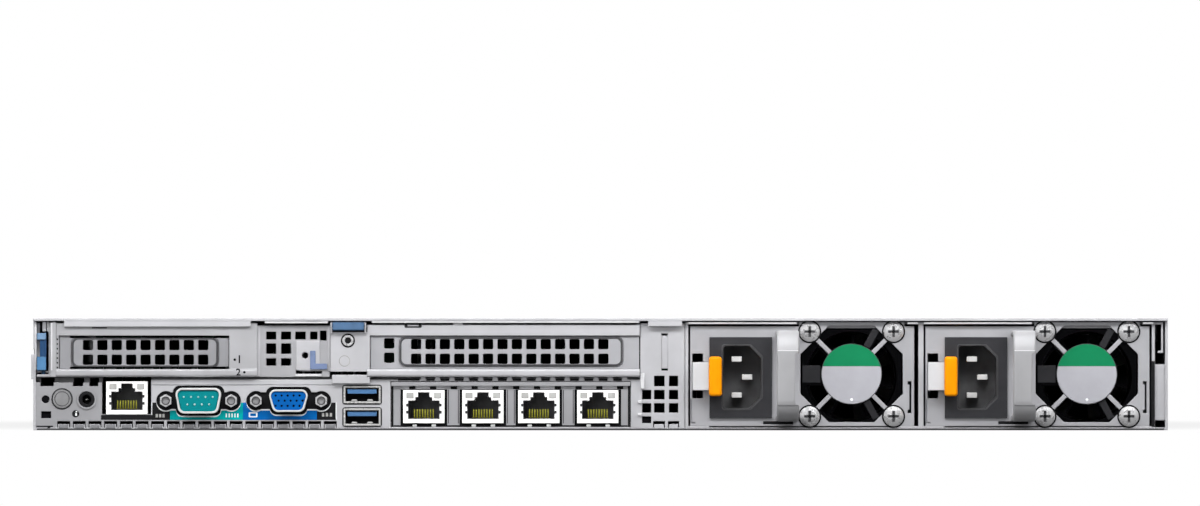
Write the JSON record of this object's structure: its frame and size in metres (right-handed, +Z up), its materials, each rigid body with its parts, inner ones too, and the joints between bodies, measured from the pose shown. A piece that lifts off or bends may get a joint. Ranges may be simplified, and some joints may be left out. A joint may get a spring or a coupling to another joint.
{
  "type": "rack server",
  "caption": "Flat one-unit rack server with rear ports, vented card slots, twin pull-out power supplies, fans, front drive bays and a lift-off lid",
  "frame": {"origin": "middle of the footprint, on the surface that the server stands on", "axes": "+Y from the rear ports to the front drive bays, +X to the right seen from behind, +Z up"},
  "size_m": [0.482, 0.79, 0.0428],
  "materials": {
    "zinc_steel": "zinc-plated sheet, satin",
    "supply_steel": "plated sheet, satin",
    "handle_steel": "bright bent strip",
    "screw_steel": "plated screws",
    "shell_nickel": "nickel-plated shell",
    "port_shell": "tin-plated shell",
    "jack_plastic": "shielded jack",
    "black_plastic": "moulded black plastic",
    "blue_plastic": "moulded blue plastic",
    "orange_plastic": "moulded orange plastic",
    "clear_button": "translucent plastic",
    "circuit_board": "green solder mask",
    "heatsink": "bare extruded fins",
    "carrier": "dark carrier"
  },
  "bodies": {
    "chassis": {"chassis_tray": "zinc_steel", "rear_panel": "zinc_steel", "psu_cage": "zinc_steel", "front_cover": "zinc_steel", "drive_cage": "zinc_steel", "riser_left_cage": "zinc_steel", "riser_right_cage": "zinc_steel", "slot_filler_left": "zinc_steel", "slot_filler_right": "zinc_steel", "lan_bracket": "zinc_steel", "port_jackscrews": "screw_steel", "usb_ports": "shell_nickel", "serial_port": "port_shell", "video_port": "port_shell", "service_jack": "jack_plastic", "lan_card": "jack_plastic", "fan_housings": "black_plastic", "id_jack": "black_plastic", "control_panel_left": "black_plastic", "control_panel_right": "black_plastic", "system_board": "circuit_board", "riser_boards": "circuit_board", "drive_backplane": "circuit_board", "memory_modules": "circuit_board", "cpu_heatsinks": "heatsink"},
    "cover": {"top_cover": "zinc_steel"},
    "cover_latch": {"cover_latch": "black_plastic"},
    "id_button": {"id_button": "clear_button"},
    "power_button": {"power_button": "clear_button"},
    "riser_latch_left": {"riser_latch_left": "blue_plastic"},
    "riser_latch_right": {"riser_latch_right": "blue_plastic"},
    "psu_left": {"psu_left_case": "supply_steel", "psu_left_inlet": "black_plastic", "psu_left_handle": "handle_steel", "psu_left_fan_frame": "black_plastic", "psu_left_fan_screws": "screw_steel"},
    "psu_left_fan": {"psu_left_rotor": "black_plastic"},
    "psu_left_latch": {"psu_left_latch_arm": "supply_steel", "psu_left_latch_tab": "orange_plastic"},
    "psu_right": {"psu_right_case": "supply_steel", "psu_right_inlet": "black_plastic", "psu_right_handle": "handle_steel", "psu_right_fan_frame": "black_plastic", "psu_right_fan_screws": "screw_steel"},
    "psu_right_fan": {"psu_right_rotor": "black_plastic"},
    "psu_right_latch": {"psu_right_latch_arm": "supply_steel", "psu_right_latch_tab": "orange_plastic"},
    "drive_1": {"drive_1_carrier": "carrier"},
    "drive_1_lever": {"drive_1_lever": "carrier"},
    "drive_2": {"drive_2_carrier": "carrier"},
    "drive_2_lever": {"drive_2_lever": "carrier"},
    "drive_3": {"drive_3_carrier": "carrier"},
    "drive_3_lever": {"drive_3_lever": "carrier"},
    "drive_4": {"drive_4_carrier": "carrier"},
    "drive_4_lever": {"drive_4_lever": "carrier"},
    "fan_1": {"fan_1_rotor": "black_plastic"},
    "fan_2": {"fan_2_rotor": "black_plastic"},
    "fan_3": {"fan_3_rotor": "black_plastic"},
    "fan_4": {"fan_4_rotor": "black_plastic"},
    "fan_5": {"fan_5_rotor": "black_plastic"}
  },
  "joints": [
    {"name": "cover_lift", "type": "slide", "parent": "chassis", "child": "cover", "axis": [0, 0, 1], "range_m": [0, 0.12]},
    {"name": "cover_latch_hinge", "type": "hinge", "parent": "cover", "child": "cover_latch", "pos_m": [0, 0.14, 0.0404], "axis": [-1, 0, 0], "range_deg": [0, 95]},
    {"name": "id_button_press", "type": "slide", "parent": "chassis", "child": "id_button", "axis": [0, 1, 0], "range_m": [0, 0.0012], "stiffness_N_per_m": 900},
    {"name": "power_button_press", "type": "slide", "parent": "chassis", "child": "power_button", "axis": [0, -1, 0], "range_m": [0, 0.001], "stiffness_N_per_m": 900},
    {"name": "riser_latch_left_swing", "type": "hinge", "parent": "chassis", "child": "riser_latch_left", "pos_m": [-0.2132, -0.3604, 0.03], "axis": [0, 0, 1], "range_deg": [0, 40]},
    {"name": "riser_latch_right_swing", "type": "hinge", "parent": "chassis", "child": "riser_latch_right", "pos_m": [-0.0965, -0.363, 0.0399], "axis": [1, 0, 0], "range_deg": [0, 45]},
    {"name": "psu_left_slide", "type": "slide", "parent": "chassis", "child": "psu_left", "axis": [0, -1, 0], "range_m": [0, 0.225]},
    {"name": "psu_left_fan_spin", "type": "hinge", "parent": "psu_left", "child": "psu_left_fan", "pos_m": [0.09605, -0.345, 0.02045], "axis": [0, 1, 0], "continuous": true},
    {"name": "psu_left_latch_press", "type": "hinge", "parent": "psu_left", "child": "psu_left_latch", "pos_m": [0.037, -0.301, 0.0206], "axis": [0, 0, 1], "range_deg": [0, 2.5], "stiffness_Nm_per_rad": 4},
    {"name": "psu_right_slide", "type": "slide", "parent": "chassis", "child": "psu_right", "axis": [0, -1, 0], "range_m": [0, 0.225]},
    {"name": "psu_right_fan_spin", "type": "hinge", "parent": "psu_right", "child": "psu_right_fan", "pos_m": [0.18605, -0.345, 0.02045], "axis": [0, 1, 0], "continuous": true},
    {"name": "psu_right_latch_press", "type": "hinge", "parent": "psu_right", "child": "psu_right_latch", "pos_m": [0.127, -0.301, 0.0206], "axis": [0, 0, 1], "range_deg": [0, 2.5], "stiffness_Nm_per_rad": 4},
    {"name": "drive_1_slide", "type": "slide", "parent": "chassis", "child": "drive_1", "axis": [0, 1, 0], "range_m": [0, 0.165]},
    {"name": "drive_1_lever_swing", "type": "hinge", "parent": "drive_1", "child": "drive_1_lever", "pos_m": [-0.2104, 0.3902, 0.0144], "axis": [0, 0, 1], "range_deg": [0, 60]},
    {"name": "drive_2_slide", "type": "slide", "parent": "chassis", "child": "drive_2", "axis": [0, 1, 0], "range_m": [0, 0.165]},
    {"name": "drive_2_lever_swing", "type": "hinge", "parent": "drive_2", "child": "drive_2_lever", "pos_m": [-0.1028, 0.3902, 0.0144], "axis": [0, 0, 1], "range_deg": [0, 60]},
    {"name": "drive_3_slide", "type": "slide", "parent": "chassis", "child": "drive_3", "axis": [0, 1, 0], "range_m": [0, 0.165]},
    {"name": "drive_3_lever_swing", "type": "hinge", "parent": "drive_3", "child": "drive_3_lever", "pos_m": [0.0048, 0.3902, 0.0144], "axis": [0, 0, 1], "range_deg": [0, 60]},
    {"name": "drive_4_slide", "type": "slide", "parent": "chassis", "child": "drive_4", "axis": [0, 1, 0], "range_m": [0, 0.165]},
    {"name": "drive_4_lever_swing", "type": "hinge", "parent": "drive_4", "child": "drive_4_lever", "pos_m": [0.1124, 0.3902, 0.0144], "axis": [0, 0, 1], "range_deg": [0, 60]},
    {"name": "fan_1_spin", "type": "hinge", "parent": "chassis", "child": "fan_1", "pos_m": [-0.168, 0.19, 0.021], "axis": [0, 1, 0], "continuous": true},
    {"name": "fan_2_spin", "type": "hinge", "parent": "chassis", "child": "fan_2", "pos_m": [-0.084, 0.19, 0.021], "axis": [0, 1, 0], "continuous": true},
    {"name": "fan_3_spin", "type": "hinge", "parent": "chassis", "child": "fan_3", "pos_m": [0, 0.19, 0.021], "axis": [0, 1, 0], "continuous": true},
    {"name": "fan_4_spin", "type": "hinge", "parent": "chassis", "child": "fan_4", "pos_m": [0.084, 0.19, 0.021], "axis": [0, 1, 0], "continuous": true},
    {"name": "fan_5_spin", "type": "hinge", "parent": "chassis", "child": "fan_5", "pos_m": [0.168, 0.19, 0.021], "axis": [0, 1, 0], "continuous": true}
  ]
}
